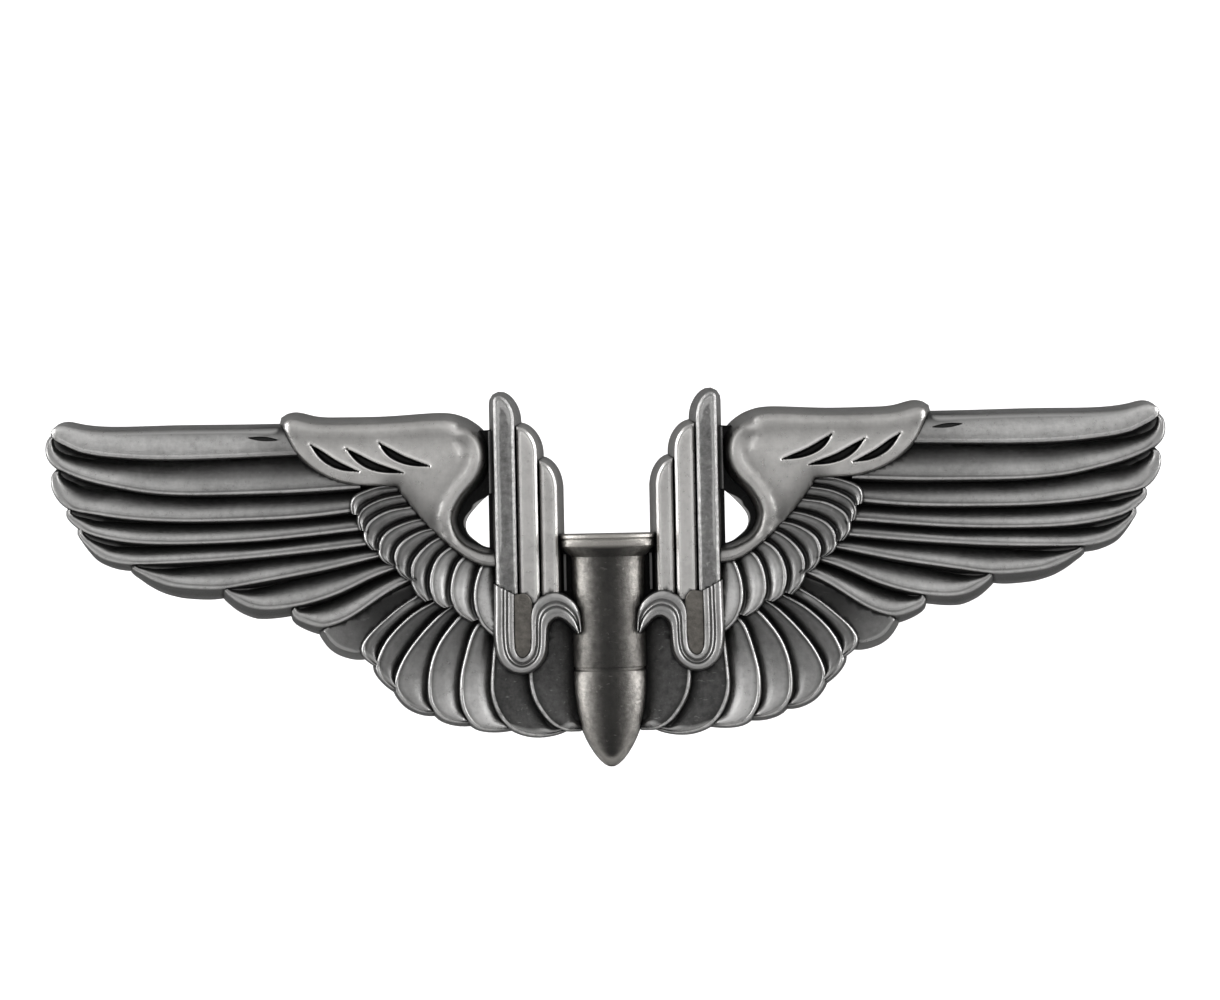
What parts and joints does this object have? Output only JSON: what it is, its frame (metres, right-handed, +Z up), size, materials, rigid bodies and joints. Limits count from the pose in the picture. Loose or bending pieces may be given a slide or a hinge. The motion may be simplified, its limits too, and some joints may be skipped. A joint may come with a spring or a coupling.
{
  "type": "winged aircrew badge",
  "caption": "Winged breast badge with stepped pylons and a nose-down cartridge, held to cloth by nail posts with butterfly clutches.",
  "frame": {"origin": "on the flat back face, on the badge's middle line, just below the cartridge's head", "axes": "+X to the viewer's right when looking at the front, +Z up as worn, the front faces -Y and the fixings stand out along +Y"},
  "size_m": [0.0764, 0.0125, 0.0257],
  "materials": {
    "antiqued_silver": "antiqued: polished high spots over near-black recesses",
    "plated_steel": "nickel-plated steel, soldered",
    "clutch_brass": "stamped and barrel-polished",
    "spring_brass": "stamped spring strip"
  },
  "bodies": {
    "badge": {"wings_badge": "antiqued_silver", "post_left": "plated_steel", "post_centre": "plated_steel", "post_right": "plated_steel"},
    "clutch_left": {"clutch_left_base": "clutch_brass", "clutch_left_cap": "clutch_brass"},
    "clutch_left_arm_right": {"clutch_left_arm_right": "spring_brass"},
    "clutch_left_arm_left": {"clutch_left_arm_left": "spring_brass"},
    "clutch_centre": {"clutch_centre_base": "clutch_brass", "clutch_centre_cap": "clutch_brass"},
    "clutch_centre_arm_right": {"clutch_centre_arm_right": "spring_brass"},
    "clutch_centre_arm_left": {"clutch_centre_arm_left": "spring_brass"},
    "clutch_right": {"clutch_right_base": "clutch_brass", "clutch_right_cap": "clutch_brass"},
    "clutch_right_arm_right": {"clutch_right_arm_right": "spring_brass"},
    "clutch_right_arm_left": {"clutch_right_arm_left": "spring_brass"}
  },
  "joints": [
    {"name": "clutch_left_pull", "type": "slide", "parent": "badge", "child": "clutch_left", "axis": [0, 1, 0], "range_m": [0, 0.01]},
    {"name": "clutch_left_pinch_right", "type": "hinge", "parent": "clutch_left", "child": "clutch_left_arm_right", "pos_m": [-0.0183, 0.0053, 0.0032], "axis": [0, 0, 1], "range_deg": [0, 8]},
    {"name": "clutch_left_pinch_left", "type": "hinge", "parent": "clutch_left", "child": "clutch_left_arm_left", "pos_m": [-0.0257, 0.0053, 0.0032], "axis": [0, 0, 1], "range_deg": [-8, 0]},
    {"name": "clutch_centre_pull", "type": "slide", "parent": "badge", "child": "clutch_centre", "axis": [0, 1, 0], "range_m": [0, 0.01]},
    {"name": "clutch_centre_pinch_right", "type": "hinge", "parent": "clutch_centre", "child": "clutch_centre_arm_right", "pos_m": [0.0037, 0.0053, -0.0046], "axis": [0, 0, 1], "range_deg": [0, 8]},
    {"name": "clutch_centre_pinch_left", "type": "hinge", "parent": "clutch_centre", "child": "clutch_centre_arm_left", "pos_m": [-0.0037, 0.0053, -0.0046], "axis": [0, 0, 1], "range_deg": [-8, 0]},
    {"name": "clutch_right_pull", "type": "slide", "parent": "badge", "child": "clutch_right", "axis": [0, 1, 0], "range_m": [0, 0.01]},
    {"name": "clutch_right_pinch_right", "type": "hinge", "parent": "clutch_right", "child": "clutch_right_arm_right", "pos_m": [0.0257, 0.0053, 0.0032], "axis": [0, 0, 1], "range_deg": [0, 8]},
    {"name": "clutch_right_pinch_left", "type": "hinge", "parent": "clutch_right", "child": "clutch_right_arm_left", "pos_m": [0.0183, 0.0053, 0.0032], "axis": [0, 0, 1], "range_deg": [-8, 0]}
  ],
  "couplings": [
    {"joint": "clutch_left_pinch_left", "follows": "clutch_left_pinch_right", "ratio": -1},
    {"joint": "clutch_centre_pinch_left", "follows": "clutch_centre_pinch_right", "ratio": -1},
    {"joint": "clutch_right_pinch_left", "follows": "clutch_right_pinch_right", "ratio": -1}
  ]
}
